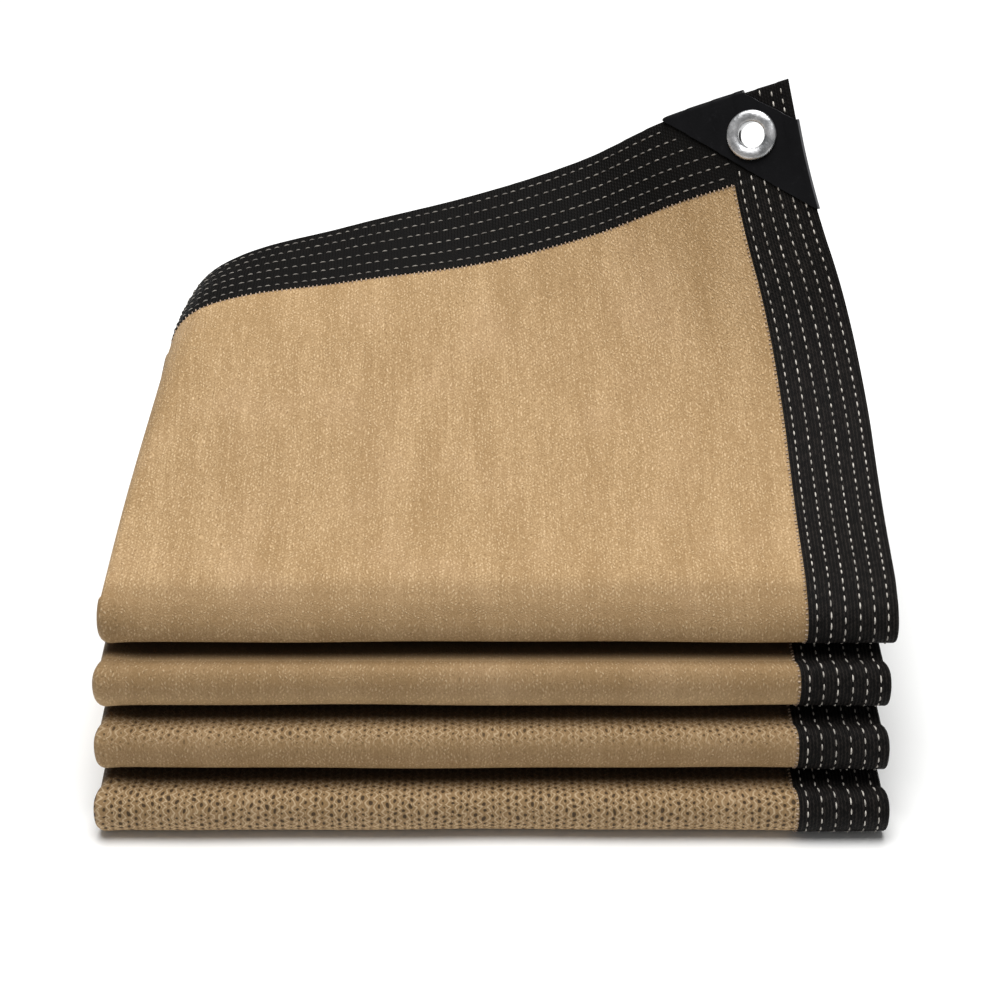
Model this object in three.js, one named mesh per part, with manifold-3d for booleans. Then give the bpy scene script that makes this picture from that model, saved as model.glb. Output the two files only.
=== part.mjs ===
// Shade net, folded: knitted net doubled along its length, then laid back and forth in a pack.
// The fold line lies at the left, the open edges with their binding tape at the right, and the
// top of the pack is a flap whose far right corner stands up with its patch and eyelet.
// Millimetres, +Z up, +X to the right, +Y to the back.

import * as THREE from 'three';
import { mergeVertices } from 'three/addons/utils/BufferGeometryUtils.js';
import Module from 'manifold-3d';

const wasm = await Module();
wasm.setup();

// Net and binding tape
const CLOTH = 2; // thickness of the knitted net
const TAPE = 3; // thickness of the tape, its outer face level with the net's
const BORDER = 43; // width of the tape
const WIDTH = 384; // fold line to open edge, half of the opened net
const SEAM = 0.3; // space between two pieces

// Pack of folds, measured at the middle between the two plies
const PLY = 7; // middle of one ply to the middle of the other
const FRONT_R = 8.5; // radius of the front folds
const BACK_R = 5.5; // radius of the back folds
const PITCH = 2 * (FRONT_R + BACK_R); // height from one front fold to the next
const NOTCH = 3; // how much narrower the pack is between two front folds

// Front folds from the top one down: how far each stands forward, how far it reaches to the
// left and right, and how far back the fold behind it lies
const FOLDS = [
  { forward: 0, left: 191, right: 192, back: 232 },
  { forward: 14.5, left: 194, right: 190, back: 227 },
  { forward: 29, left: 195, right: 190, back: 234 },
  { forward: 43.5, left: 196, right: 191, back: 226 },
];

// Raised flap: its length at the fold line and at the open edge, and the slope in degrees of
// seven lines across it, each in the middle of four quarters of its length
const LENGTH_LEFT = 240;
const LENGTH_RIGHT = 294;
const QUARTERS = ['front', 'second', 'third', 'back'];
const SECTIONS = [
  { across: 0, front: 3, second: 12, third: 15, back: -12 },
  { across: 50, front: 5, second: 17, third: 18, back: 2 },
  { across: 110, front: 5, second: 16, third: 20, back: 12 },
  { across: 180, front: 4, second: 12, third: 22, back: 29 },
  { across: 250, front: 4, second: 15, third: 28, back: 41 },
  { across: 310, front: 5, second: 19, third: 41, back: 53 },
  { across: WIDTH, front: 8, second: 23, third: 52, back: 58 },
];
const STIFF_END = 85; // last stretch of the flap, which keeps its direction
const DRAWN_IN = 6; // how far the fold line's far end is drawn in
const LEAN_IN = 14; // how far the raised corner leans in
const SAG = 4; // how far the flap's lower ply sinks towards its end

// Corner patch and eyelet
const EYELET_FROM_SIDE = 28; // centre of the eyelet from the open edge
const EYELET_FROM_END = 22; // and from the flap's end
const PATCH_TIP = [29, 21]; // where the cut-off tip meets the end edge and the side edge
const PATCH_LONG = [80, 67]; // where the long side meets them
const PATCH_WALL = 1.2;
const PATCH_CLEAR = 0.6; // space between the patch and the tape inside it
const EYELET_CLEAR = 0.75; // the eyelet's flat faces from the middle of the saddle-shaped patch
const HOLE_R = 7.9; // hole through tape and patch
const EYELET = { bore: 6.9, barrel: 7.5, flange: 13, washer: 12, rim: 1, crown: 1.9, sides: 32 };

const netColour = new THREE.Color(0.6, 0.47, 0.31);
const tapeColour = new THREE.Color(0.03, 0.027, 0.024);
const materials = {
  net: new THREE.MeshStandardMaterial({ color: netColour, roughness: 0.85, metalness: 0 }),
  tape: new THREE.MeshStandardMaterial({ color: tapeColour, roughness: 0.9, metalness: 0 }),
  patch: new THREE.MeshStandardMaterial({ color: 0x151518, roughness: 0.4, metalness: 0 }),
  eyelet: new THREE.MeshStandardMaterial({ color: 0xc9cbce, roughness: 0.25, metalness: 1 }),
};

const { lerp, clamp, degToRad } = THREE.MathUtils;
const foldHeight = (k) => FRONT_R + PLY / 2 + CLOTH / 2 + PITCH * (FOLDS.length - 1 - k);
const flapLength = (x) => lerp(LENGTH_LEFT, LENGTH_RIGHT, x / WIDTH);

// Slope of one quarter of the flap at a distance from the fold line, on a smooth curve
// through the sections
function sectionSlope(x, quarter) {
  const last = SECTIONS.length - 1;
  let i = SECTIONS.findIndex((row) => row.across > x) - 1;
  if (i < 0) i = x <= 0 ? 0 : last - 1;
  const row = (n) => SECTIONS[clamp(n, 0, last)];
  const rate = (a, b) => (row(b)[quarter] - row(a)[quarter]) / (row(b).across - row(a).across);
  const tangent = (n) => rate(Math.max(n - 1, 0), Math.min(n + 1, last));
  const step = row(i + 1).across - row(i).across;
  const w = clamp((x - row(i).across) / step, 0, 1);
  const rise = w * w * (3 - 2 * w);
  const bulge = step * w * (1 - w) * ((1 - w) * tangent(i) - w * tangent(i + 1));
  return degToRad(lerp(row(i)[quarter], row(i + 1)[quarter], rise) + bulge);
}

// The flap's upper ply as a fine grid of points, across from the fold line and along from
// the front fold. Each line across keeps its cloth length, so a rising corner draws inward.
const GRID = 6;
const acrossCount = Math.ceil(WIDTH / GRID) + 2;
const alongCount = Math.ceil(LENGTH_RIGHT / GRID) + 3;

function flapLine(x) {
  const slopes = QUARTERS.map((quarter) => sectionSlope(x, quarter));
  const slopeAt = (s) => {
    const place = clamp((s / flapLength(x)) * QUARTERS.length - 0.5, 0, QUARTERS.length - 1);
    const i = Math.min(Math.floor(place), QUARTERS.length - 2);
    return lerp(slopes[i], slopes[i + 1], place - i);
  };
  const outerR = FRONT_R + PLY / 2;
  let y = -outerR * Math.sin(slopes[0]);
  let z = foldHeight(0) + outerR * Math.cos(slopes[0]);
  const line = [];
  for (let j = 0; j < alongCount; j += 1) {
    line.push(new THREE.Vector3(0, y, z));
    const slope = slopeAt((j + 0.5) * GRID);
    y += GRID * Math.cos(slope);
    z += GRID * Math.sin(slope);
  }
  return line;
}

function buildFlapGrid() {
  const grid = [];
  for (let i = 0; i < acrossCount; i += 1) grid.push(flapLine(i * GRID));
  for (let j = 0; j < alongCount; j += 1) {
    grid[0][j].x = -FOLDS[0].left;
    for (let i = 1; i < acrossCount; i += 1) {
      const a = grid[i - 1][j];
      const b = grid[i][j];
      const spent = (b.y - a.y) ** 2 + (b.z - a.z) ** 2;
      b.x = a.x + Math.sqrt(Math.max(GRID ** 2 - spent, 1));
    }
  }
  grid.forEach((line, i) => {
    const start = Math.floor((flapLength(i * GRID) - STIFF_END) / GRID);
    const drift = (line[start].x - line[start - 2].x) / 2;
    for (let j = start + 1; j < alongCount; j += 1) line[j].x = line[j - 1].x + drift;
  });
  return grid;
}

const flapGrid = buildFlapGrid();

// How far the flap is drawn in at its fold line's side, and leans in at its raised corner,
// at a fraction of its length
function drawnIn(x, fraction) {
  return DRAWN_IN * clamp((fraction - 0.75) / 0.25, 0, 1) ** 2 * Math.exp(-((x / 90) ** 2));
}
function leaningIn(x, fraction) {
  return LEAN_IN * THREE.MathUtils.smoothstep(fraction, 0.35, 0.9) * (x / WIDTH) ** 3;
}

// Upper ply of the flap at a distance from the fold line and from the front fold
function flapPoint(x, s) {
  const i = clamp(Math.floor(x / GRID), 0, acrossCount - 2);
  const j = clamp(Math.floor(s / GRID), 0, alongCount - 2);
  const near = flapGrid[i][j].clone().lerp(flapGrid[i + 1][j], x / GRID - i);
  const far = flapGrid[i][j + 1].clone().lerp(flapGrid[i + 1][j + 1], x / GRID - i);
  const point = near.lerp(far, s / GRID - j);
  const fraction = s / flapLength(x);
  point.x += drawnIn(x, fraction) - leaningIn(x, fraction);
  return point;
}

function lowerFlapPoint(x, s) {
  const fraction = s / LENGTH_LEFT;
  const height = foldHeight(0) + FRONT_R - PLY / 2 - SAG * clamp(fraction, 0, 1);
  return new THREE.Vector3(flapPoint(x, 0).x + drawnIn(x, fraction), s, height);
}

// Place across the pack at a front fold, and between two of them
function across(k, x) {
  if (k === 0) return flapPoint(x, 0).x;
  return lerp(-FOLDS[k].left, FOLDS[k].right, x / WIDTH);
}
const narrowed = (x, amount) => NOTCH * amount * (1 - (2 * x) / WIDTH);

// Stretches of the folded net, one after the other from the flap's end to the bottom layer's
// end. Each gives the middle of the outer ply and of the inner ply at a distance x from the
// fold line and a fraction w of the stretch.
function frontFold(k) {
  return (x, w) => {
    const start = k === 0 ? sectionSlope(x, 'front') : 0;
    const place = (angle, radius) => {
      const rounding = k === 0 && angle < Math.PI / 2 ? 0 : (1 - Math.sin(angle)) ** 2;
      return new THREE.Vector3(
        across(k, x) + narrowed(x, rounding),
        -FOLDS[k].forward - radius * Math.sin(angle),
        foldHeight(k) + radius * Math.cos(angle),
      );
    };
    return [
      place(lerp(start, Math.PI, w), FRONT_R + PLY / 2),
      place(Math.PI * w, FRONT_R - PLY / 2),
    ];
  };
}

function backFold(k) {
  return (x, w) => {
    const placeX = lerp(across(k, x), across(k + 1, x), 0.5) + narrowed(x, 1);
    const centre = foldHeight(k) - PITCH / 2;
    const place = (radius) => {
      const y = FOLDS[k].back + radius * Math.sin(Math.PI * w);
      return new THREE.Vector3(placeX, y, centre + radius * Math.cos(Math.PI * w));
    };
    return [place(BACK_R - PLY / 2), place(BACK_R + PLY / 2)];
  };
}

// A level layer from one depth to another; side is 1 where the outer ply is the upper one
function layerBetween(start, end, height, side, placeX) {
  return (x, w) => {
    const y = lerp(start, end, w);
    const place = (offset) => new THREE.Vector3(placeX(x, w), y, height + offset);
    return [place((side * PLY) / 2), place((-side * PLY) / 2)];
  };
}

function backwardLayer(k, start, end) {
  const other = Math.min(k + 1, FOLDS.length - 1);
  const placeX = (x, w) => lerp(across(k, x), across(other, x), w / 2) + narrowed(x, 1);
  return layerBetween(start, end, foldHeight(k) - FRONT_R, -1, placeX);
}

function forwardLayer(k) {
  const placeX = (x, w) => lerp(across(k - 1, x), across(k, x), (1 + w) / 2) + narrowed(x, 1);
  const height = foldHeight(k) + FRONT_R;
  return layerBetween(FOLDS[k - 1].back, -FOLDS[k].forward, height, 1, placeX);
}

const flapEnd = (x, w) => [
  flapPoint(x, flapLength(x) - BORDER * w),
  lowerFlapPoint(x, LENGTH_LEFT - BORDER * w),
];
const flapBody = (x, w) => [
  flapPoint(x, (flapLength(x) - BORDER) * (1 - w)),
  lowerFlapPoint(x, (LENGTH_LEFT - BORDER) * (1 - w)),
];

// The stretches with the number of steps that each is built in
const STEPS = { end: 3, flap: 10, frontFold: 8, backFold: 6, layer: 3 };
const stretches = [
  { at: flapEnd, steps: STEPS.end },
  { at: flapBody, steps: STEPS.flap },
];
FOLDS.forEach(({ forward, back }, k) => {
  stretches.push({ at: frontFold(k), steps: STEPS.frontFold });
  if (k < FOLDS.length - 1) {
    stretches.push({ at: backwardLayer(k, -forward, back), steps: STEPS.layer });
    stretches.push({ at: backFold(k), steps: STEPS.backFold });
    stretches.push({ at: forwardLayer(k + 1), steps: STEPS.layer });
  } else {
    stretches.push({ at: backwardLayer(k, -forward, back - BORDER), steps: STEPS.layer });
    stretches.push({ at: backwardLayer(k, back - BORDER, back), steps: 1 });
  }
});
const PATH_END = stretches.length; // stations run from 0 to here, one for each stretch

function plies(x, t) {
  const i = clamp(Math.floor(t), 0, PATH_END - 1);
  return stretches[i].at(x, t - i);
}

// Half width of cloth that turns round the fold line at a station
const reachCache = new Map();
function foldReach(t) {
  if (!reachCache.has(t)) {
    let radius = PLY / 2;
    for (let n = 0; n < 12; n += 1) {
      const [outer, inner] = plies((radius * Math.PI) / 2, t);
      radius = lerp(radius, outer.distanceTo(inner) / 2, 0.6);
    }
    reachCache.set(t, (radius * Math.PI) / 2);
  }
  return reachCache.get(t);
}

// Middle of the net at a station. x runs from the outer ply's open edge at WIDTH, round the
// fold line at 0, to the inner ply's open edge at -WIDTH.
function netPoint(x, t) {
  const reach = foldReach(t);
  if (Math.abs(x) >= reach) return plies(Math.abs(x), t)[x > 0 ? 0 : 1];
  const [outer, inner] = plies(reach, t);
  const [outerNext, innerNext] = plies(reach + 2, t);
  const handle = (outer.distanceTo(inner) * 2) / 3;
  const outerHandle = outer.clone().sub(outerNext).setLength(handle).add(outer);
  const innerHandle = inner.clone().sub(innerNext).setLength(handle).add(inner);
  const turn = new THREE.CubicBezierCurve3(outer, outerHandle, innerHandle, inner);
  return turn.getPoint((1 - x / reach) / 2);
}

// Outward direction and both tangents of a surface at (u, v)
function surfaceFrame(surface, u, v, du, dv) {
  const alongU = surface(u + du, v).sub(surface(u - du, v)).normalize();
  const alongV = surface(u, v + dv).sub(surface(u, v - dv)).normalize();
  return { alongU, alongV, normal: alongV.clone().cross(alongU).normalize() };
}

// Closed sheet on a surface, between two offsets from it
function sheet(surface, stations, profile, low, high, du, dv) {
  const rows = stations.map((v) => profile(v).map((u) => {
    const point = surface(u, v);
    const { normal } = surfaceFrame(surface, u, v, du, dv);
    return [high, low].map((offset) => point.clone().addScaledVector(normal, offset));
  }));
  const positions = rows.flat(2).flatMap((p) => p.toArray());
  const columns = rows[0].length;
  const lastRow = rows.length - 1;
  const lastColumn = columns - 1;
  const top = (i, j) => 2 * (i * columns + j);
  const bottom = (i, j) => top(i, j) + 1;
  const index = [];
  const quad = (a, b, c, d) => index.push(a, b, c, a, c, d);
  for (let i = 0; i < lastRow; i += 1) {
    for (let j = 0; j < lastColumn; j += 1) {
      quad(top(i, j), top(i + 1, j), top(i + 1, j + 1), top(i, j + 1));
      quad(bottom(i, j), bottom(i, j + 1), bottom(i + 1, j + 1), bottom(i + 1, j));
    }
    quad(top(i, lastColumn), top(i + 1, lastColumn), bottom(i + 1, lastColumn), bottom(i, lastColumn));
    quad(top(i, 0), bottom(i, 0), bottom(i + 1, 0), top(i + 1, 0));
  }
  for (let j = 0; j < lastColumn; j += 1) {
    quad(top(0, j), top(0, j + 1), bottom(0, j + 1), bottom(0, j));
    quad(top(lastRow, j), bottom(lastRow, j), bottom(lastRow, j + 1), top(lastRow, j + 1));
  }
  const geometry = new THREE.BufferGeometry();
  geometry.setAttribute('position', new THREE.Float32BufferAttribute(positions, 3));
  geometry.setIndex(index);
  return geometry;
}

const evenly = (from, to, steps) => Array.from(
  { length: steps + 1 },
  (_, i) => lerp(from, to, i / steps),
);

// Stations from one place on the path to another, with a seam's space at the cut ends
function stationsBetween(from, to) {
  const list = [from];
  stretches.forEach(({ steps }, i) => {
    evenly(i, i + 1, steps).forEach((t) => {
      if (t > from + 0.01 && t < to - 0.01 && t > list[list.length - 1] + 1e-6) list.push(t);
    });
  });
  return [...list, to];
}
const FLAP_SEAM = 1 + SEAM / (LENGTH_LEFT - BORDER);
const lastFold = FOLDS[FOLDS.length - 1];
const BOTTOM_SEAM = PATH_END - 1 - SEAM / (lastFold.back + lastFold.forward - BORDER);

// Places across the net at a station, from an open edge round the fold line to the other
const FOLD_PLACES = evenly(-1, 1, 6);
const INNER_STEPS = 4;
function roundFold(t, innerEdge, outerEdge, outerSteps) {
  const reach = foldReach(t);
  const inner = evenly(-innerEdge, -reach, INNER_STEPS).slice(0, -1);
  const outer = evenly(reach, outerEdge, outerSteps).slice(1);
  return [...inner, ...FOLD_PLACES.map((place) => place * reach), ...outer];
}

const netSheet = (stations, profile, thickness) => (
  sheet(netPoint, stations, profile, CLOTH / 2 - thickness, CLOTH / 2, 0.3, 0.004)
);

function netCloth() {
  const edge = WIDTH - BORDER - SEAM;
  const profile = (t) => roundFold(t, edge, edge, 9);
  return netSheet(stationsBetween(FLAP_SEAM, BOTTOM_SEAM), profile, CLOTH);
}

function sideBorder(side) {
  const places = evenly(side > 0 ? WIDTH - BORDER : -WIDTH, side > 0 ? WIDTH : BORDER - WIDTH, 2);
  return netSheet(stationsBetween(FLAP_SEAM, BOTTOM_SEAM), () => places, TAPE);
}

function endBorder() {
  const profile = (t) => roundFold(t, WIDTH, WIDTH - BORDER - SEAM, 16);
  return netSheet(stationsBetween(0, 1), profile, TAPE);
}

function lowerEndBorder() {
  const profile = (t) => roundFold(t, WIDTH, WIDTH, INNER_STEPS);
  return netSheet(stationsBetween(PATH_END - 1, PATH_END), profile, TAPE);
}

// Corner of the flap, by distance from the fold line and from the flap's end
const cornerPoint = (x, fromEnd) => flapPoint(x, flapLength(x) - fromEnd);
const eyeletCentre = cornerPoint(WIDTH - EYELET_FROM_SIDE, EYELET_FROM_END);
const corner = surfaceFrame(cornerPoint, WIDTH - EYELET_FROM_SIDE, EYELET_FROM_END, 8, 8);
const cornerFrame = new THREE.Matrix4()
  .makeBasis(corner.alongU.clone().negate(), corner.normal.clone().cross(corner.alongU).negate(), corner.normal)
  .setPosition(eyeletCentre);

function asSolid(geometry) {
  const bare = geometry.clone();
  bare.deleteAttribute('normal');
  bare.deleteAttribute('uv');
  const merged = mergeVertices(bare, 1e-4);
  return new wasm.Manifold(new wasm.Mesh({
    numProp: 3,
    vertProperties: new Float32Array(merged.attributes.position.array),
    triVerts: new Uint32Array(merged.index.array),
  }));
}

function asGeometry(solid) {
  const mesh = solid.getMesh();
  const geometry = new THREE.BufferGeometry();
  geometry.setAttribute('position', new THREE.Float32BufferAttribute(mesh.vertProperties, 3));
  geometry.setIndex(Array.from(mesh.triVerts));
  return geometry;
}

// Straight prism through the corner, square to it, from an outline in the corner's frame
const PRISM_DEPTH = 40;
function cornerPrism(shape, curveSegments) {
  const settings = { depth: PRISM_DEPTH, bevelEnabled: false, curveSegments };
  const prism = new THREE.ExtrudeGeometry(shape, settings);
  return asSolid(prism.translate(0, 0, -PRISM_DEPTH / 2).applyMatrix4(cornerFrame));
}

const HOLE_SEGMENTS = 24;
function eyeletHole() {
  const circle = new THREE.Shape().absarc(0, 0, HOLE_R, 0, 2 * Math.PI);
  return cornerPrism(circle, HOLE_SEGMENTS);
}

function cornerBorder() {
  const places = evenly(WIDTH - BORDER, WIDTH, 3);
  const square = netSheet(stationsBetween(0, 1), () => places, TAPE);
  return asGeometry(asSolid(square).subtract(eyeletHole()));
}

// Plastic patch: a thin casing round the tape's corner, cut to its four-sided outline
function cornerCasing(clear, inner) {
  const reach = Math.max(...PATCH_LONG) + (inner ? 12 : 6);
  const fromEnd = evenly(-clear, reach, 8);
  const places = evenly(WIDTH - reach, WIDTH + clear, 8);
  const low = CLOTH / 2 - TAPE - clear;
  return asSolid(sheet(cornerPoint, fromEnd, () => places, low, CLOTH / 2 + clear, 2, 2));
}

function cornerPatch() {
  const outside = cornerCasing(PATCH_CLEAR + PATCH_WALL, false);
  const casing = outside.subtract(cornerCasing(PATCH_CLEAR, true));
  const past = 6; // the outline runs past both edges, so that the casing's walls are kept
  const ends = ([along, down]) => [
    [along * (1 + past / down), -past],
    [-past, down * (1 + past / along)],
  ];
  const outline = [...ends(PATCH_TIP), ...ends(PATCH_LONG).reverse()].map(([a, b]) => new THREE.Vector2(a - EYELET_FROM_SIDE, b - EYELET_FROM_END));
  const cut = casing.intersect(cornerPrism(new THREE.Shape(outline), 1));
  return asGeometry(cut.subtract(eyeletHole()));
}

// Eyelet: barrel, washer below and rolled flange above, turned about its own axis
function eyelet() {
  const { bore, barrel, flange, washer, rim, crown, sides } = EYELET;
  const plate = PATCH_CLEAR + PATCH_WALL;
  const above = CLOTH / 2 + plate + EYELET_CLEAR;
  const below = CLOTH / 2 - TAPE - plate - EYELET_CLEAR;
  const middle = (bore + flange) / 2;
  const profile = [
    [bore, below - rim],
    [washer, below - rim],
    [washer, below],
    [barrel, below],
    [barrel, above],
    [flange, above],
    [flange, above + rim / 2],
    [lerp(middle, flange, 0.6), above + crown * 0.9],
    [middle, above + crown],
    [lerp(middle, bore, 0.6), above + crown * 0.8],
    [bore, above + rim / 3],
    [bore, below - rim],
  ].map(([r, h]) => new THREE.Vector2(r, h));
  const turned = new THREE.LatheGeometry(profile, sides);
  turned.rotateX(Math.PI / 2).applyMatrix4(cornerFrame);
  return asGeometry(asSolid(turned));
}

const pieces = [
  ['net_cloth', netCloth(), materials.net],
  ['side_border', sideBorder(1), materials.tape],
  ['side_border_under', sideBorder(-1), materials.tape],
  ['end_border', endBorder(), materials.tape],
  ['end_border_lower', lowerEndBorder(), materials.tape],
  ['corner_border', cornerBorder(), materials.tape],
  ['corner_patch', cornerPatch(), materials.patch],
  ['eyelet', eyelet(), materials.eyelet],
];

const net = new THREE.Group();
pieces.forEach(([name, geometry, material]) => {
  const mesh = new THREE.Mesh(geometry, material);
  mesh.name = name;
  net.add(mesh);
});

// Origin at the middle of the bottom of the box round the whole net
const box = new THREE.Box3().setFromObject(net, true);
const middle = box.getCenter(new THREE.Vector3());
net.position.set(-middle.x, -middle.y, -box.min.z);
net.updateMatrixWorld(true);

export default net;
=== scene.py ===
# Looks of the folded shade net: knitted net, binding tape, stitching, corner patch and eyelet.
# Shapes are worked out in millimetres, as in the part, and turned into metres in the meshes.

import math

import bpy
import numpy as np
from mathutils import Matrix, Vector


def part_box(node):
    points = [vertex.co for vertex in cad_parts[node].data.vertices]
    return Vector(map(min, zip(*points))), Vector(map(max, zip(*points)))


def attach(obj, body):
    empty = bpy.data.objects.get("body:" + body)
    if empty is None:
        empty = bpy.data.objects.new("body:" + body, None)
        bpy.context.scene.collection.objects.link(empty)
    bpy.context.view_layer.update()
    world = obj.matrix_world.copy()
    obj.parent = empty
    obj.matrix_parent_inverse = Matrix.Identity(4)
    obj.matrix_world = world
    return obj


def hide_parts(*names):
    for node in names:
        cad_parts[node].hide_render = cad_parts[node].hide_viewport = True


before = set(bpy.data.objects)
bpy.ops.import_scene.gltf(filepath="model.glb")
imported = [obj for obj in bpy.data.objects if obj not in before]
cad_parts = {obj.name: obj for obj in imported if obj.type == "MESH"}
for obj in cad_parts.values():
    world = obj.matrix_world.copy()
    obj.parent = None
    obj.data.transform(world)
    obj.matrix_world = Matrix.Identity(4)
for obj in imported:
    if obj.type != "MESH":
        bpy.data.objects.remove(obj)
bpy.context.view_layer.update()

MM = 0.001
random = np.random.default_rng(7)

# Net and binding tape, in millimetres
CLOTH = 2.0  # thickness of the net
BORDER = 43.0  # width of the tape
WIDTH = 384.0  # fold line to open edge
SEAM = WIDTH - BORDER  # fold line to the tape's inner edge
RIB = 1.6  # from one knitted rib to the next
COURSE = 2.2  # from one stitch of a rib to the next
OPENING_PITCH = 3.9  # from one column of openings to the next
OPENING_COURSE = 3.5  # from one opening of a column to the next
TAPE_RIB = 1.7
TAPE_COURSE = 1.9

# Pack of folds, measured at the middle between the two plies
PLY = 7.0  # from the middle of one ply to the middle of the other
FRONT_R = 8.5
BACK_R = 5.5
PITCH = 2 * (FRONT_R + BACK_R)  # from one front fold down to the next
NOTCH = 3.0  # how far each side is drawn in between the front folds

# Front folds from the top one down: how far each stands forward, and where its sides and the
# back of its layer lie
FOLDS = [
    dict(forward=0.0, left=191.0, right=192.0, back=232.0),
    dict(forward=14.5, left=194.0, right=190.0, back=227.0),
    dict(forward=29.0, left=195.0, right=190.0, back=234.0),
    dict(forward=43.5, left=196.0, right=191.0, back=226.0),
]

# Raised flap: length at the fold line and at the open edge, and the slope in degrees of lines
# across it, in the middle of its front, second, third and back quarter
LENGTH_LEFT = 240.0
LENGTH_RIGHT = 294.0
ACROSS = np.array([0.0, 50.0, 110.0, 180.0, 250.0, 310.0, WIDTH])
SLOPES = {
    "front": [3, 5, 5, 4, 4, 5, 8],
    "second": [12, 17, 16, 12, 15, 19, 23],
    "third": [15, 18, 20, 22, 28, 41, 52],
    "back": [-12, 2, 12, 29, 41, 53, 58],
}
STIFF_END = 85.0  # length at its end that the tape keeps straight
STIFF_START = 12.0  # run before that length, which gives its direction
DRAWN_IN = 6.0  # how far its end is drawn in at the fold line
DRAWN_IN_REACH = 90.0
LEAN_IN = 14.0  # how far its raised corner leans in
SAG = 4.0  # how far its lower ply sinks towards its end

# Corner patch and eyelet
EYELET_AT = (28.0, 22.0)  # from the side edge and from the end edge
PATCH_TIP = (29.0, 21.0)  # where its cut-off tip meets the end edge and the side edge
PATCH_LONG = (80.0, 67.0)  # where its long side meets them
HOLE_R = 7.9  # hole for the eyelet in tape and patch
PATCH_OUT = 1.8  # outside of the patch from the tape's faces
PATCH_CLEAR = 0.6  # and its inside
EYELET_CLEAR = 0.75  # from the patch to the eyelet's rims
EYELET = dict(bore=6.9, barrel=7.5, flange=13.0, washer=12.0, rim=1.0, crown=1.9)
TAPE_FULL = 3.0  # thickness of the part's tape, most of it below the net


# The folded net's shape

def mix(a, b, w):
    return a + (b - a) * w


def eased(w):
    """Smooth step from 0 to 1."""
    return w * w * (3 - 2 * w)


def share(value):
    return np.clip(value, 0, 1)


def evenly(start, end, steps):
    return np.linspace(start, end, steps + 1)


def fold_height(k):
    return FRONT_R + PLY / 2 + CLOTH / 2 + PITCH * (len(FOLDS) - 1 - k)


def flap_length(x):
    return mix(LENGTH_LEFT, LENGTH_RIGHT, x / WIDTH)


def section_slope(x, quarter):
    """Slope of one quarter of the flap, on a smooth curve through the sections."""
    value = np.array(SLOPES[quarter], float)
    last = len(ACROSS) - 1
    count = np.arange(last + 1)
    before, after = np.maximum(count - 1, 0), np.minimum(count + 1, last)
    tangent = (value[after] - value[before]) / (ACROSS[after] - ACROSS[before])
    x = np.clip(x, 0, WIDTH)
    i = np.clip(np.searchsorted(ACROSS, x, "right") - 1, 0, last - 1)
    step = ACROSS[i + 1] - ACROSS[i]
    w = (x - ACROSS[i]) / step
    bulge = step * w * (1 - w) * ((1 - w) * tangent[i] - w * tangent[i + 1])
    return np.radians(mix(value[i], value[i + 1], eased(w)) + bulge)


# Grid over the flap. It reaches past the edges, for what is wrapped round them.
GRID = 2.0
GRID_X = np.arange(0, WIDTH + 4 * GRID, GRID)
GRID_S = np.arange(0, LENGTH_RIGHT + 7 * GRID, GRID)
LEAST_STEP = 0.1  # square of the least step across, where the flap is steepest


def build_flap_grid():
    """Upper ply of the flap, across from the fold line and along from the front fold."""
    x, s = GRID_X[:, None], (GRID_S[None, :-1] + GRID / 2)
    slopes = np.array([section_slope(GRID_X, quarter) for quarter in SLOPES])
    place = np.clip(s / flap_length(x) * len(slopes) - 0.5, 0, len(slopes) - 1)
    i = np.minimum(place.astype(int), len(slopes) - 2)
    rows = np.arange(len(GRID_X))[:, None]
    slope = mix(slopes[i, rows], slopes[i + 1, rows], place - i)
    outer_r = FRONT_R + PLY / 2
    start_y = -outer_r * np.sin(slopes[0])[:, None]
    start_z = (fold_height(0) + outer_r * np.cos(slopes[0]))[:, None]
    y = np.hstack([start_y, start_y + np.cumsum(np.cos(slope) * GRID, 1)])
    z = np.hstack([start_z, start_z + np.cumsum(np.sin(slope) * GRID, 1)])
    spent = np.diff(y, axis=0) ** 2 + np.diff(z, axis=0) ** 2
    steps = np.sqrt(np.maximum(GRID**2 - spent, LEAST_STEP))
    across_x = np.vstack([np.zeros(len(GRID_S)), np.cumsum(steps, 0)]) - FOLDS[0]["left"]
    run = int(STIFF_START / GRID)
    for row, line in enumerate(across_x):
        start = int((flap_length(GRID_X[row]) - STIFF_END) / GRID)
        drift = (line[start] - line[start - run]) / run
        line[start:] = line[start] + drift * np.arange(len(line) - start)
    return np.stack([across_x, y, z], -1)


FLAP_GRID = build_flap_grid()


def drawn_in(x, fraction):
    """How far a place moves across the flap: drawn in at the fold line, and leaning in at the
    raised corner."""
    fold_side = share((fraction - 0.75) / 0.25) ** 2 * np.exp(-((x / DRAWN_IN_REACH) ** 2))
    corner_side = eased(share((fraction - 0.35) / 0.55)) * (x / WIDTH) ** 3
    return DRAWN_IN * fold_side - LEAN_IN * corner_side


def flap_point(x, s):
    """Upper ply of the flap at distances from the fold line and from the front fold."""
    x, s = np.broadcast_arrays(np.asarray(x, float), np.asarray(s, float))
    i = np.clip((x / GRID).astype(int), 0, len(GRID_X) - 2)
    j = np.clip((s / GRID).astype(int), 0, len(GRID_S) - 2)
    a, b = (x / GRID - i)[..., None], (s / GRID - j)[..., None]
    near = mix(FLAP_GRID[i, j], FLAP_GRID[i + 1, j], a)
    far = mix(FLAP_GRID[i, j + 1], FLAP_GRID[i + 1, j + 1], a)
    point = mix(near, far, b)
    point[..., 0] += drawn_in(x, s / flap_length(x))
    return point


def stack3(x, y, z):
    return np.stack(np.broadcast_arrays(x, y, z), -1).astype(float)


def unit(vectors):
    return vectors / np.maximum(np.linalg.norm(vectors, axis=-1, keepdims=True), 1e-9)


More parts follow.
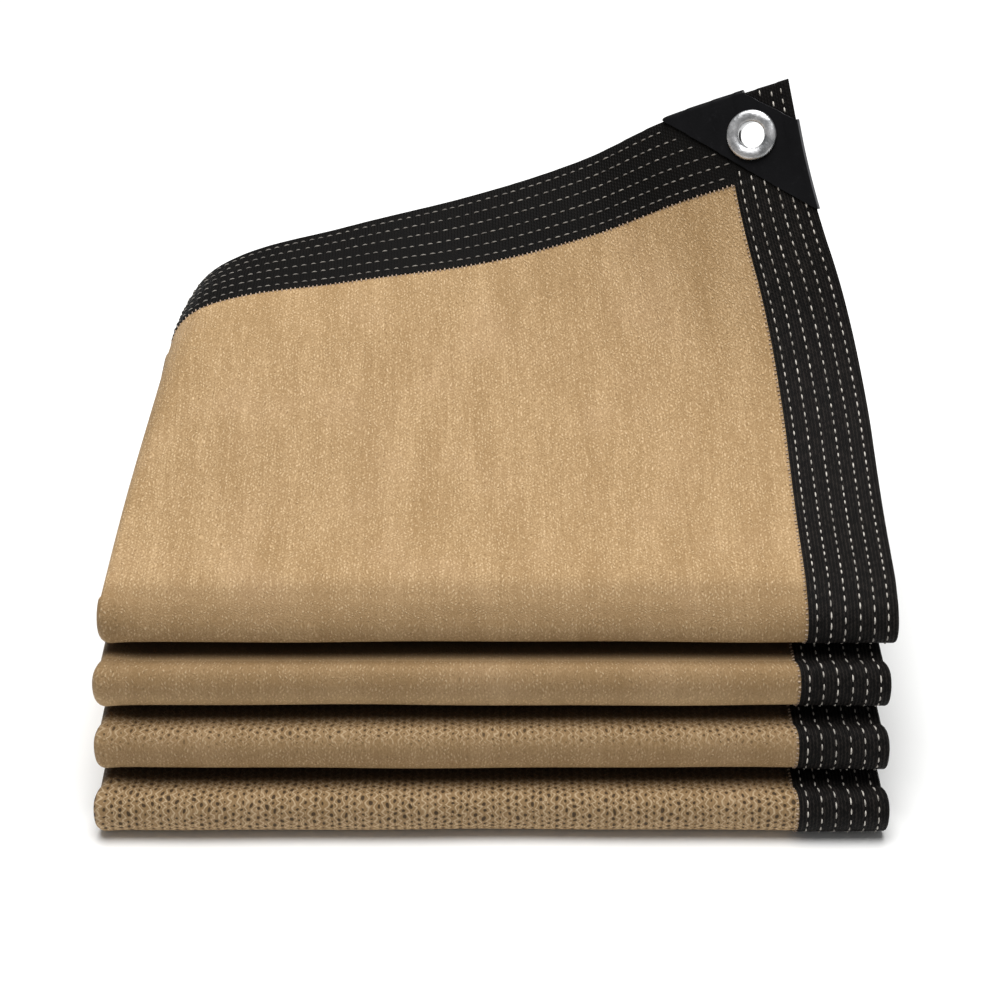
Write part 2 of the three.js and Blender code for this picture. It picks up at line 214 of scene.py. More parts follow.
def lengths_along(points):
    """Distance along each column of points from its first one."""
    steps = np.linalg.norm(np.diff(points, axis=0), axis=-1)
    return np.concatenate([np.zeros_like(steps[:1]), np.cumsum(steps, 0)])


def turns(count):
    """Angles of equal steps round a circle."""
    return np.arange(count) * 2 * np.pi / count


def lower_flap_point(x, s):
    fraction = s / LENGTH_LEFT
    height = fold_height(0) + FRONT_R - PLY / 2 - SAG * share(fraction)
    place_x = flap_point(x, 0)[..., 0] + np.maximum(drawn_in(x, fraction), 0)
    return stack3(place_x, s, height)


def across(k, x):
    """Place from left to right of a distance from the fold line, at a front fold."""
    if k == 0:
        return flap_point(x, 0)[..., 0]
    return mix(-FOLDS[k]["left"], FOLDS[k]["right"], x / WIDTH)


def narrowed(x, amount):
    return NOTCH * amount * (1 - 2 * x / WIDTH)


# Stretches of the folded net, from the flap's end to the bottom layer's end. Each gives the
# middle of the outer ply and of the inner ply at a distance x and a fraction w.

def flap_end(x, w):
    upper = flap_point(x, flap_length(x) - BORDER * w)
    return upper, lower_flap_point(x, LENGTH_LEFT - BORDER * w)


def flap_body(x, w):
    upper = flap_point(x, (flap_length(x) - BORDER) * (1 - w))
    return upper, lower_flap_point(x, (LENGTH_LEFT - BORDER) * (1 - w))


def front_fold(k):
    forward, height = FOLDS[k]["forward"], fold_height(k)

    def place(x, angle, radius):
        rounding = (1 - np.sin(angle)) ** 2
        if k == 0:
            rounding = np.where(angle < np.pi / 2, 0, rounding)
        y, z = -forward - radius * np.sin(angle), height + radius * np.cos(angle)
        return stack3(across(k, x) + narrowed(x, rounding), y, z)

    def plies_at(x, w):
        start = section_slope(x, "front") if k == 0 else 0 * x
        outer = place(x, mix(start, np.pi, w), FRONT_R + PLY / 2)
        return outer, place(x, np.pi * w + 0 * x, FRONT_R - PLY / 2)

    return plies_at


def back_fold(k):
    def plies_at(x, w):
        place_x = (across(k, x) + across(k + 1, x)) / 2 + narrowed(x, 1)
        centre = fold_height(k) - PITCH / 2
        turn = np.pi * w
        return tuple(
            stack3(place_x, FOLDS[k]["back"] + r * np.sin(turn), centre + r * np.cos(turn))
            for r in (BACK_R - PLY / 2, BACK_R + PLY / 2)
        )

    return plies_at


def level_layer(start, end, height, side, place_x):
    """Layer with its outer ply above (side 1) or below (side -1) the inner one."""
    def plies_at(x, w):
        y = mix(start, end, w)
        return tuple(
            stack3(place_x(x, w), y, height + offset)
            for offset in (side * PLY / 2, -side * PLY / 2)
        )

    return plies_at


def backward_layer(k, start, end):
    other = min(k + 1, len(FOLDS) - 1)

    def place_x(x, w):
        return mix(across(k, x), across(other, x), w / 2) + narrowed(x, 1)

    return level_layer(start, end, fold_height(k) - FRONT_R, -1, place_x)


def forward_layer(k):
    def place_x(x, w):
        return mix(across(k - 1, x), across(k, x), (1 + w) / 2) + narrowed(x, 1)

    height = fold_height(k) + FRONT_R
    return level_layer(FOLDS[k - 1]["back"], -FOLDS[k]["forward"], height, 1, place_x)


def build_stretches():
    """Stretches with the steps that each is built in, and which ones are front folds. A station
    is a stretch's number plus the fraction of it that is past."""
    found, fronts = [(flap_end, 18), (flap_body, 96)], []
    for k, fold in enumerate(FOLDS):
        front, back = -fold["forward"], fold["back"]
        fronts.append(len(found))
        found.append((front_fold(k), 24))
        if k < len(FOLDS) - 1:
            found.append((backward_layer(k, front, back), 10))
            found.append((back_fold(k), 8))
            found.append((forward_layer(k + 1), 10))
        else:
            found.append((backward_layer(k, front, back - BORDER), 10))
            found.append((backward_layer(k, back - BORDER, back), 6))
    return found, fronts


STRETCHES, FRONTS = build_stretches()
PATH_END = len(STRETCHES)


def stations_between(start, end):
    found = [start]
    for i, (_, steps) in enumerate(STRETCHES):
        found += [t for t in evenly(i, i + 1, steps) if start + 0.01 < t < end - 0.01]
    return np.unique(np.round(found + [end], 6))


def plies(x, t):
    i = min(max(int(math.floor(t)), 0), PATH_END - 1)
    return STRETCHES[i][0](x, t - i)


def fold_reach(t):
    """Half width of cloth that turns round the fold line at a station."""
    radius = PLY / 2
    for _ in range(12):
        outer, inner = plies(np.array([radius * np.pi / 2]), t)
        radius = mix(radius, np.linalg.norm(outer - inner) / 2, 0.6)
    return radius * np.pi / 2


def net_row(x, t, reach):
    """Middle of the net at a station. x runs from the outer ply's open edge at WIDTH, round
    the fold line at 0, to the inner ply's open edge at -WIDTH."""
    outer, inner = plies(np.abs(x), t)
    points = np.where(x[:, None] > 0, outer, inner)
    # A cubic curve turns round the fold line
    ends, before = (np.array(plies(np.array([at]), t))[:, 0] for at in (reach, reach + GRID))
    handles = ends + unit(ends - before) * (np.linalg.norm(ends[0] - ends[1]) * 2 / 3)
    turning = np.abs(x) < reach
    w = ((1 - x[turning] / reach) / 2)[:, None]
    points[turning] = (
        (1 - w) ** 3 * ends[0]
        + 3 * (1 - w) ** 2 * w * handles[0]
        + 3 * (1 - w) * w**2 * handles[1]
        + w**3 * ends[1]
    )
    return points


# Small unevenness of real cloth, in millimetres off the smooth shape

FOLD_LINE_FADE = 14.0  # what sinks fades out over this reach of the fold line
PINCH = 3.2  # how far a layer's outer ply sinks behind its front fold
PINCH_START = 0.2  # share of a front fold that is past before the ply sinks
PINCH_ABOVE = 0.16  # share of the layer above a fold over which it sinks, and below
PINCH_BELOW = 0.12
PINCH_GONE = 0.75  # share of the layer where it has risen again, over the last PINCH_FADE
PINCH_FADE = 0.55
DROOP = 4.8  # how far the flap sinks where it turns down into its front fold
DROOP_TAPE = 3.6  # and its tape, which is thicker
DROOP_START = -16.0  # where it starts, from its front fold's start, and the run it takes
DROOP_RISE = 22.0
DROOP_END = 27.0  # where it ends, and the run before that over which it rises again
DROOP_FALL = 20.0
SWELL = 0.8  # how far the layers swell at the fold line, so that they touch
SWELL_REACH = 9.0


def from_fold_line(x):
    """0 at the fold line, 1 well away from it on the outer ply."""
    return 1 - np.exp(-((np.clip(x, 0, None) / FOLD_LINE_FADE) ** 2))


def pinched(x, t):
    """Outer ply sinking above and below the front folds, away from the fold line."""
    depth = np.zeros_like(t)
    for k, i in enumerate(FRONTS):
        above = share((i + PINCH_START - t) / (PINCH_START + PINCH_ABOVE))
        below = share((t - (i + 1 - PINCH_START)) / (PINCH_START + PINCH_BELOW))
        if k > 0:
            fading = share((t - i + PINCH_GONE) / PINCH_FADE)
            depth = depth + np.where((t > i - 1) & (t < i + 0.5), above * fading, 0)
        if k < len(FRONTS) - 1:
            fading = share((i + 1 + PINCH_GONE - t) / PINCH_FADE)
            depth = depth + np.where((t < i + 2) & (t > i + 0.5), below * fading, 0)
    return PINCH * eased(depth) * from_fold_line(x)


def drooping(x, t):
    """The flap's shoulder sinking before and past the start of its front fold."""
    front = FRONTS[0]
    before = (flap_length(x) - BORDER) * (np.clip(t, front - 1, front) - front)
    arc = before + share(t - front) * np.pi * (FRONT_R + PLY / 2)
    rise, fall = share((arc - DROOP_START) / DROOP_RISE), share((DROOP_END - arc) / DROOP_FALL)
    depth = mix(DROOP, DROOP_TAPE, share((x - SEAM + 20) / 18))
    return depth * from_fold_line(x) * eased(rise) * eased(fall)


def wave(x, height, reach, offset):
    return height * np.sin(x / reach + offset)


def unevenness(x, t):
    """How far the net lies off its smooth shape: slack waves on the flap, uneven front folds,
    layers that swell at the fold line, and what sinks."""
    x, t = np.broadcast_arrays(x, t)
    front = FRONTS[0]
    on_flap = np.clip(t, 0, front)
    slack = np.where(t < front, np.sin(np.pi * on_flap / front) ** 2, 0)
    slack = slack * (wave(x, 0.5, 31, 1.7 * on_flap) + wave(x, 0.35, 14.5, -2.9 * on_flap))
    nose = np.zeros_like(t)
    for k, i in enumerate(FRONTS):
        ripple = wave(x, 0.35, 43, 2.1 * k) + wave(x, 0.2, 17, 1.3 * k + 3 * (t - i))
        nose = nose + share((t - i) * (i + 1 - t) * 4) * ripple
    swell = np.where(t >= front, SWELL * np.exp(-((x / SWELL_REACH) ** 2)), 0)
    return slack + nose + swell - pinched(x, t) - drooping(x, t)


# Where the part's own origin lies, found from the boxes of its pieces in model.glb
fold_front = FOLDS[-1]["forward"] + FRONT_R + PLY / 2 + CLOTH / 2
open_edge = across(0, np.array([WIDTH]))[0]
SHIFT = np.array([
    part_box("side_border")[1].x / MM - open_edge,
    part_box("net_cloth")[0].y / MM + fold_front,
    0.0,
])


def net_surface(stations, profile_of):
    """Middle points, outward normals, and knit places (across, along, station) of a grid."""
    rows, places = [], []
    for t in stations:
        x = profile_of(t)
        rows.append(net_row(x, t, fold_reach(t)))
        places.append(x)
    points, places = np.array(rows), np.array(places)
    normals = unit(np.cross(np.gradient(points, axis=0), np.gradient(points, axis=1)))
    lifted = points + normals * unevenness(places, stations[:, None])[..., None]
    lifted[..., 2] = np.maximum(lifted[..., 2], CLOTH / 2)
    run, front = lengths_along(points), FRONTS[0]
    if stations[0] < front < stations[-1]:
        run = run - run[np.argmin(np.abs(stations - front))]
    station = np.broadcast_to(stations[:, None], places.shape)
    return lifted + SHIFT, normals, np.stack([places, run, station], -1)


# Mesh helpers

THREAD_SIDES = 5


def new_object(name, vertices, faces, material):
    mesh = bpy.data.meshes.new(name)
    mesh.from_pydata((vertices * MM).tolist(), [], [list(map(int, face)) for face in faces])
    mesh.validate()
    mesh.shade_smooth()
    thing = bpy.data.objects.new(name, mesh)
    bpy.context.scene.collection.objects.link(thing)
    mesh.materials.append(material)
    return thing


def shell(name, top, bottom, material, ring=False):
    """Closed sheet between two grids of points. The columns of a ring join up, last to first."""
    rows, columns = top.shape[:2]
    vertices = np.concatenate([top.reshape(-1, 3), bottom.reshape(-1, 3)])
    vertices[:, 2] = np.maximum(vertices[:, 2], 0)
    index = np.arange(rows * columns).reshape(rows, columns)
    if ring:
        index = np.hstack([index, index[:, :1]])
    under = index + rows * columns
    quads = [
        (index[:-1, :-1], index[1:, :-1], index[1:, 1:], index[:-1, 1:]),
        (under[:-1, :-1], under[:-1, 1:], under[1:, 1:], under[1:, :-1]),
        (index[0, :-1], index[0, 1:], under[0, 1:], under[0, :-1]),
        (index[-1, :-1], under[-1, :-1], under[-1, 1:], index[-1, 1:]),
    ]
    if not ring:
        quads += [
            (index[:-1, -1], index[1:, -1], under[1:, -1], under[:-1, -1]),
            (index[:-1, 0], under[:-1, 0], under[1:, 0], index[1:, 0]),
        ]
    faces = np.concatenate([np.stack(corners, -1).reshape(-1, 4) for corners in quads])
    return new_object(name, vertices, faces, material)


def grid_sheet(name, points, normals, places, low, high, material, ring=False):
    """Closed sheet between two offsets. Its vertices keep their knit places for the material."""
    low, high = (np.broadcast_to(offset, points.shape[:2])[..., None] for offset in (low, high))
    thing = shell(name, points + normals * high, points + normals * low, material, ring)
    layer = thing.data.attributes.new("knit", "FLOAT_VECTOR", "POINT")
    both_faces = np.concatenate([places.reshape(-1, 3)] * 2)
    layer.data.foreach_set("vector", np.asarray(both_faces, np.float32).ravel())
    return thing


def tubes(name, paths, ups, radii, flatten, material):
    """Closed tubes in one mesh, flattened along ups. paths and ups are (tubes, points, 3), and
    radii is (points,)."""
    tangent = unit(np.gradient(paths, axis=1))
    side = unit(np.cross(tangent, ups))
    up = np.cross(side, tangent)
    turn = turns(THREAD_SIDES) + np.pi / THREAD_SIDES
    cosine, sine = np.cos(turn)[:, None], np.sin(turn)[:, None]
    ring = cosine * side[:, :, None] + sine * up[:, :, None] * flatten
    vertices = paths[:, :, None] + ring * radii[:, None, None]
    count, points = paths.shape[:2]
    index = np.arange(count * points * THREAD_SIDES).reshape(count, points, THREAD_SIDES)
    following = np.roll(index, -1, 2)
    walls = np.stack([index[:, :-1], following[:, :-1], following[:, 1:], index[:, 1:]], -1)
    faces = walls.reshape(-1, 4).tolist()
    faces += index[:, 0, ::-1].tolist() + index[:, -1].tolist()
    return new_object(name, vertices.reshape(-1, 3), faces, material)


# Materials

NET_DARK = (0.31, 0.19, 0.082, 1)
NET_PALE = (0.585, 0.405, 0.221, 1)
NET_GLINT = (0.74, 0.58, 0.39, 1)
# Painted shade and painted light for the net's front folds
NET_PAINTED_SHADE = (0.2, 0.122, 0.052, 1)
NET_PAINTED_LIGHT = (0.72, 0.52, 0.29, 1)
NET_PINK = (0.5, 0.33, 0.2, 1)
NET_HOLE = (0.03, 0.016, 0.007, 1)
TAPE_DARK = (0.0015, 0.0012, 0.001, 1)
TAPE_PALE = (0.019, 0.0155, 0.0135, 1)
# Pale of the tape at the flap's end and corner, painted darker as shade
TAPE_PALE_IN_PAINTED_SHADE = (0.005, 0.0037, 0.0029, 1)
THREAD_PALE = (0.62, 0.58, 0.52, 1)
THREAD_DARK = (0.18, 0.165, 0.145, 1)
# Stitching on the end tapes, painted darker as shade
SHADED_THREAD_PALE = (0.26, 0.24, 0.21, 1)
SHADED_THREAD_DARK = (0.11, 0.1, 0.09, 1)
LOOP_PALE = (0.47, 0.36, 0.27, 1)
LOOP_DARK = (0.3, 0.21, 0.15, 1)
PLASTIC_DARK = (0.002, 0.002, 0.0024, 1)
PLASTIC_HAZE = (0.0045, 0.0045, 0.0055, 1)
PLASTIC_SCUFF = (0.03, 0.03, 0.034, 1)
# Painted sheen where the patch faces the side
PLASTIC_PAINTED_SHEEN = (0.11, 0.11, 0.115, 1)
METAL_DULL = (0.36, 0.37, 0.38, 1)
METAL_BRIGHT = (0.68, 0.68, 0.69, 1)
FLOOR_PALE = (0.93, 0.93, 0.92, 1)


class Nodes:
    """Short way to write a material's node tree."""

    def __init__(self, name):
        self.material = bpy.data.materials.new(name)
        self.material.use_nodes = True
        self.tree = self.material.node_tree
        self.shader = self.tree.nodes["Principled BSDF"]

    def put(self, socket, value):
        if isinstance(value, bpy.types.NodeSocket):
            self.tree.links.new(value, socket)
        else:
            socket.default_value = value

    def node(self, kind, inputs, **settings):
        """Outputs of a new node. inputs says what goes into which input, by name or number."""
        node = self.tree.nodes.new("ShaderNode" + kind)
        for name, value in settings.items():
            setattr(node, name, value)
        for socket, value in inputs.items():
            self.put(node.inputs[socket], value)
        return node.outputs

    def math(self, operation, a, b=0.0):
        return self.node("Math", {0: a, 1: b}, operation=operation)[0]

    def add(self, a, b):
        return self.math("ADD", a, b)

    def sub(self, a, b):
        return self.math("SUBTRACT", a, b)

    def mul(self, a, b):
        return self.math("MULTIPLY", a, b)

    def largest(self, a, b):
        return self.math("MAXIMUM", a, b)

    def off_half(self, value, amount):
        """How far a value from 0 to 1 lies from a half, times an amount."""
        return self.mul(self.sub(value, 0.5), amount)

    def smooth(self, value, low, high):
        """0 below low, 1 above high, and smooth between them. low may be the larger one."""
        inputs = {"Value": value, "From Min": low, "From Max": high}
        return self.node("MapRange", inputs, interpolation_type="SMOOTHSTEP")[0]

    def mix_colour(self, factor, a, b):
        return self.node("Mix", {0: factor, 6: a, 7: b}, data_type="RGBA")[2]

    def knit_place(self):
        """Place in the knit as a vector, and its parts: across, along and station."""
        vector = self.node("Attribute", {}, attribute_name="knit")["Vector"]
        return vector, self.node("SeparateXYZ", {0: vector})

    def object_place(self):
        return self.node("TexCoord", {})["Object"]

    def join(self, x, y):
        return self.node("CombineXYZ", {0: x, 1: y})[0]

    def scaled(self, u, v, across, along):
        return self.join(self.mul(u, across), self.mul(v, along))

    def noise(self, vector, scale, detail=2.0, roughness=0.5):
        inputs = {"Vector": vector, "Scale": scale, "Detail": detail, "Roughness": roughness}
        return self.node("TexNoise", inputs)["Fac"]

    def white(self, vector):
        """Three random numbers for each value of a vector."""
        colour = self.node("TexWhiteNoise", {"Vector": vector})["Color"]
        return self.node("SeparateColor", {0: colour})

    def surface(self, colour, roughness, specular=0.5, metallic=0.0):
        inputs = self.shader.inputs
        self.put(inputs["Base Color"], colour)
        self.put(inputs["Roughness"], roughness)
        self.put(inputs["Specular IOR Level"], specular)
        self.put(inputs["Metallic"], metallic)

    def bump(self, height, distance, strength=1.0):
        inputs = {"Strength": strength, "Distance": distance * MM, "Height": height}
        self.put(self.shader.inputs["Normal"], self.node("Bump", inputs)[0])


def knit_cells(n, u, v, pitch, course):
    """Cells of a knit whose ribs are half a stitch apart: place inside a cell from 0 to 1, and
    three random numbers for each cell."""
    rib = n.math("DIVIDE", u, pitch)
    rib_number = n.math("FLOOR", rib)
    odd = n.math("MODULO", n.math("ABSOLUTE", rib_number), 2.0)
    stitch = n.add(n.math("DIVIDE", v, course), n.mul(odd, 0.5))
    inside = n.math("FRACT", rib), n.math("FRACT", stitch)
    return inside, n.white(n.join(rib_number, n.math("FLOOR", stitch)))


def from_cell_middle(n, across, along, reach_across, reach_along):
    """Distance from a cell's middle, 1 on an ellipse with these reaches."""
    dx = n.math("DIVIDE", n.sub(across, 0.5), reach_across)
    dy = n.math("DIVIDE", n.sub(along, 0.5), reach_along)
    return n.math("SQRT", n.add(n.mul(dx, dx), n.mul(dy, dy)))


def knit_openness(n, station):
    """1 where the knit is stretched open over the lowest front fold, 0.85 above it."""
    third, lowest = FRONTS[-2:]
    over_lowest = n.smooth(station, lowest - 0.8, lowest - 0.1)
    start, end = (third - 0.5, third - 0.1), (third + 0.4, third + 0.12)
    over_third = n.mul(n.smooth(station, *start), n.smooth(station, *end))
    return n.largest(n.mul(over_third, 0.85), over_lowest)


def chain_stitches(n, u, v):
    """Chain stitches, each a little out of its row and leaning, and a random number for each."""
    (across, along), (chance, shift, tilt) = knit_cells(n, u, v, RIB, COURSE)
    lean = n.mul(n.sub(along, 0.5), n.off_half(tilt, 1.5))
    across = n.add(n.add(across, n.off_half(shift, 0.5)), lean)
    from_stitch = from_cell_middle(n, across, along, 0.34, 0.46)
    return n.mul(n.smooth(from_stitch, 1.2, 0.2), n.smooth(chance, 0.0, 0.75)), chance


def holes_and_chains(n, u, v, openness):
    """Small openings in staggered columns, and the chains that wind between them."""
    (across, along), (luck, drift, slip) = knit_cells(n, u, v, OPENING_PITCH, OPENING_COURSE)
    winding = n.math("COSINE", n.off_half(along, 2 * math.pi))
    from_middle = n.math("ABSOLUTE", n.sub(across, 0.5))
    from_chain = n.math("ABSOLUTE", n.sub(from_middle, n.add(0.5, n.mul(winding, 0.2))))
    chain = n.mul(n.smooth(from_chain, 0.17, 0.03), openness)
    across, along = n.add(across, n.off_half(drift, 0.2)), n.add(along, n.off_half(slip, 0.25))
    size = n.add(n.add(0.25, n.mul(openness, 0.65)), n.off_half(luck, 0.7))
    from_edge = n.sub(from_cell_middle(n, across, along, 0.19, 0.22), size)
    return n.smooth(from_edge, 0.3, -0.3), chain


def net_tone(n, u, v, patchy):
    """Long streaks along the ribs, and cloth that has faded unevenly."""
    streak = n.noise(n.scaled(u, v, 0.06, 0.012), 1.0)
    thin_streak = n.noise(n.scaled(u, v, 0.35, 0.035), 1.0)
    streaks = n.add(n.off_half(streak, 0.4), n.off_half(thin_streak, 0.3))
    return n.add(streaks, n.off_half(patchy, 0.1))


def painted_fold_shade(n, station, base):
    """Painted shade and light over the front folds: painted shade on the flap's fold and where
    the others come out of the gaps, painted light lower down on the second fold, and the painted
    shadow of the gaps."""
    down = n.math("FRACT", station)
    folded = n.smooth(station, 2.7, 5.5)
    deeper = n.smooth(station, 8.5, 9.5)
    # Painted shade on the flap's shoulder, where it turns down into its front fold
    shoulder = n.mul(n.smooth(station, 1.938, 1.99), 0.42)
    front = n.add(shoulder, n.mul(n.smooth(station, 1.99, 2.3), 0.1))
    front = n.mul(n.sub(front, n.mul(n.smooth(station, 2.35, 2.6), 0.42)), n.sub(1.0, folded))
    # Painted shade where the folds below come out of the gaps and turn under, more on the lowest
    # two
    dull_metal_and_painted_shade = n.largest(n.smooth(down, 0.62, 0.3), n.smooth(down, 0.8, 0.9))
    dull_metal_and_painted_shade = n.mul(dull_metal_and_painted_shade, n.sub(0.5, n.mul(deeper, 0.14)))
    dull_metal_and_painted_shade = n.mul(folded, n.add(dull_metal_and_painted_shade, n.mul(deeper, 0.18)))
    base = n.mix_colour(n.add(front, dull_metal_and_painted_shade), base, NET_PAINTED_SHADE)
    # Painted light on the lower part of the second front fold
    painted_light = n.mul(n.mul(folded, n.sub(0.16, n.mul(deeper, 0.16))), n.smooth(down, 0.35, 0.6))
    base = n.mix_colour(painted_light, base, NET_PAINTED_LIGHT)
    # Painted shadow: the layers are painted darkest just before they come out of a gap over a
    # front fold, and a little just past it
    before = n.mul(n.smooth(down, 0.86, 0.9), n.mul(n.smooth(down, 1.01, 0.972), 0.8))
    after = n.mul(n.smooth(down, 0.16, 0.02), 0.14)
    return base, n.mul(folded, n.largest(before, after))


def net_material():
    n = Nodes("knitted net")
    vector, (u, v, station) = n.knit_place()
    u = n.add(u, n.off_half(n.noise(vector, 0.11, 3.0), 3.2))
    v = n.add(v, n.off_half(n.noise(vector, 0.16), 5.0))
    openness = knit_openness(n, station)
    stitch, chance = chain_stitches(n, u, v)
    hole, chain = holes_and_chains(n, u, v, openness)
    # Fine unevenness of the flat yarns laid across the ribs
    grain = n.noise(vector, 0.95, 5.0, 0.65)
    fleck = n.noise(n.scaled(u, v, 1.1, 0.6), 0.75, 3.0, 0.6)
    speck = n.smooth(n.noise(n.scaled(u, v, 1.5, 1.0), 0.95, 3.0, 0.7), 0.34, 0.66)
    height = n.add(n.mul(stitch, 0.55), n.add(n.mul(grain, 0.7), n.mul(fleck, 0.5)))
    height = n.add(height, n.mul(speck, 0.45))
    sunk = n.mul(hole, n.add(0.35, n.mul(openness, 0.65)))
    height = n.add(height, n.sub(n.mul(chain, 0.6), sunk))
    # Colour: painted shade in the knit's hollows and painted light on its raised yarns, with
    # streaks and uneven fading of the cloth
    patchy = n.noise(vector, 0.02)
    light = n.add(n.mul(n.sub(height, 1.04), 0.66), net_tone(n, u, v, patchy))
    base = n.mix_colour(n.smooth(light, -0.36, 0.42), NET_DARK, NET_PALE)
    base, deep = painted_fold_shade(n, station, base)
    glint = n.smooth(n.mul(stitch, n.mul(fleck, n.add(0.5, chance))), 0.42, 0.72)
    base = n.mix_colour(n.largest(n.mul(glint, 0.26), n.mul(chain, 0.36)), base, NET_GLINT)
    base = n.mix_colour(n.mul(n.smooth(patchy, 0.5, 0.75), 0.12), base, NET_PINK)
    # Dark in the knit's openings, and the painted shadow of the gaps over the front folds
    dark = n.largest(n.mul(hole, n.add(0.16, n.mul(openness, 0.7))), deep)
    n.surface(n.mix_colour(dark, base, NET_HOLE), n.add(0.5, n.mul(grain, 0.3)), 0.25)
    n.bump(height, 0.46, 0.75)
    return n.material


def tape_material():
    n = Nodes("binding tape")
    vector, (u, v, station) = n.knit_place()
    (across, along), (chance, _, _) = knit_cells(n, u, v, TAPE_RIB, TAPE_COURSE)
    leaning = n.mul(n.math("ABSOLUTE", n.sub(along, 0.5)), 0.5)
    from_rib = n.math("ABSOLUTE", n.sub(across, n.add(0.25, leaning)))
    grain = n.noise(vector, 1.1, 4.0, 0.7)
    height = n.add(n.smooth(from_rib, 0.42, 0.05), n.mul(grain, 0.8))
    light = n.add(n.mul(height, 0.4), n.mul(chance, 0.35))
    # Painted shade: the tape at the flap's end and corner is painted darker than the rest
    pale = n.mix_colour(n.smooth(station, 0.9, 1.1), TAPE_PALE_IN_PAINTED_SHADE, TAPE_PALE)
    n.surface(n.mix_colour(n.smooth(light, 0.3, 1.1), TAPE_DARK, pale), 0.7, 0.12)
    n.bump(height, 0.35, 0.8)
    return n.material


def thread_material(name, pale, dark):
    n = Nodes(name)
    place = n.object_place()
    fibre = n.noise(place, 2500.0, 3.0)
    patchy = n.noise(place, 230.0)
    light = n.smooth(n.add(n.mul(fibre, 0.35), n.mul(patchy, 0.65)), 0.36, 0.64)
    n.surface(n.mix_colour(light, dark, pale), 0.7)
    n.bump(fibre, 0.1)
    return n.material


def patch_material():
    n = Nodes("patch plastic")
    place = n.object_place()
    grain = n.noise(place, 900.0, 4.0)
    haze = n.noise(place, 55.0, 3.0)
    scuff = n.smooth(n.noise(place, 240.0, 5.0, 0.7), 0.56, 0.72)
    colour = n.mix_colour(haze, PLASTIC_DARK, PLASTIC_HAZE)
    colour = n.mix_colour(n.mul(scuff, 0.15), colour, PLASTIC_SCUFF)
    # Painted sheen: the plastic is painted paler where it faces the side, round the side edge
    facing = n.node("TexCoord", {})["Normal"]
    facing_side = n.node("SeparateXYZ", {0: facing})["X"]
    rim = n.mul(n.smooth(facing_side, 0.1, 0.5), n.add(0.35, haze))
    n.surface(n.mix_colour(rim, colour, PLASTIC_PAINTED_SHEEN), n.add(0.4, n.mul(haze, 0.2)), 0.12)
    n.bump(grain, 0.12, 0.5)
    return n.material


def eyelet_material():
    n = Nodes("pressed aluminium")
    place = n.object_place()
    dull_metal_and_painted_shade = n.noise(place, 140.0, 4.0)
    scratch = n.noise(place, 900.0, 4.0, 0.7)
    dent = n.noise(place, 260.0)
    colour = n.mix_colour(n.smooth(dull_metal_and_painted_shade, 0.35, 0.65), METAL_DULL, METAL_BRIGHT)
    n.surface(colour, n.add(0.3, n.mul(dull_metal_and_painted_shade, 0.25)), metallic=1.0)
    n.bump(n.add(n.mul(scratch, 0.25), dent), 0.5, 0.7)
    return n.material


NET = net_material()
TAPE = tape_material()
THREAD = thread_material("stitching thread", THREAD_PALE, THREAD_DARK)
# A darker copy of the stitching thread for the end tapes: painted shade
SHADED_THREAD = thread_material("end stitching thread", SHADED_THREAD_PALE, SHADED_THREAD_DARK)
LOOP = thread_material("edge loops", LOOP_PALE, LOOP_DARK)
PLASTIC = patch_material()
ALUMINIUM = eyelet_material()


# Knitted net

NET_BELOW = 0.4  # its lower face from the middle, so that the plies don't touch


def round_fold(inner_edge, outer_edge, inner_steps, outer_steps, fold_steps=12):
    """Profile from the inner ply's edge round the fold line to the outer ply's edge."""
    def places_at(t):
        reach = fold_reach(t)
        inner = evenly(-inner_edge, -reach, inner_steps)[:-1]
        outer = evenly(reach, outer_edge, outer_steps)[1:]
        return np.concatenate([inner, evenly(-reach, reach, fold_steps), outer])

    return places_at


def make_net():
    stations, profile = stations_between(1, PATH_END - 1), round_fold(SEAM, SEAM, 24, 116)
    return grid_sheet("net", *net_surface(stations, profile), -NET_BELOW, CLOTH / 2, NET)


# Binding tape: its edges are rounded, and it stands a little proud of the net

TAPE_HALF = 1.5
TAPE_ROUND = 1.2
TAPE_EDGE = 0.12  # least share of its thickness, at the very edge
TAPE_LAP = 0.8  # how far it lies over the net's edge
EDGE_STEPS = np.array([0.0, 0.15, 0.5, TAPE_ROUND])
EYELET_SIDES = 96


def rounded(distance):
    """Share of the full thickness at a distance from a rounded edge."""
    return np.maximum(np.sqrt(1 - (1 - share(distance / TAPE_ROUND)) ** 2), TAPE_EDGE)


def places_across(low, high, steps):
    inner = evenly(low + TAPE_ROUND, high - TAPE_ROUND, steps)[1:-1]
    return np.concatenate([low + EDGE_STEPS, inner, high - EDGE_STEPS[::-1]])


def tape_sheet(name, stations, profile_of, distance_of):
    """Tape on the net's surface; distance_of gives how far each place is from a free edge."""
    points, normals, places = net_surface(stations, profile_of)
    half = TAPE_HALF * rounded(distance_of(np.abs(places[..., 0]), stations[:, None]))
    return grid_sheet(name, points, normals, places, -half, half, TAPE)


def make_side_tape(name, side):
    low, high = SEAM - TAPE_LAP, WIDTH
    across_tape = places_across(low, high, 14)
    across_tape = across_tape if side > 0 else -across_tape[::-1]
    stations = stations_between(1, PATH_END - 1)
    return tape_sheet(
        name, stations, lambda t: across_tape, lambda x, t: np.minimum(x - low, high - x)
    )


def make_end_tape():
    """Tape over the flap's end, with stations closer together at its edges."""
    edges = EDGE_STEPS / BORDER
    last = 1 + TAPE_LAP / (LENGTH_LEFT - BORDER)
    stations = np.unique([*edges, *evenly(edges[-1], 1, 16), last])
    profile = round_fold(WIDTH, SEAM, 40, 100, 20)
    return tape_sheet("end_tape", stations, profile, lambda x, t: BORDER * t)


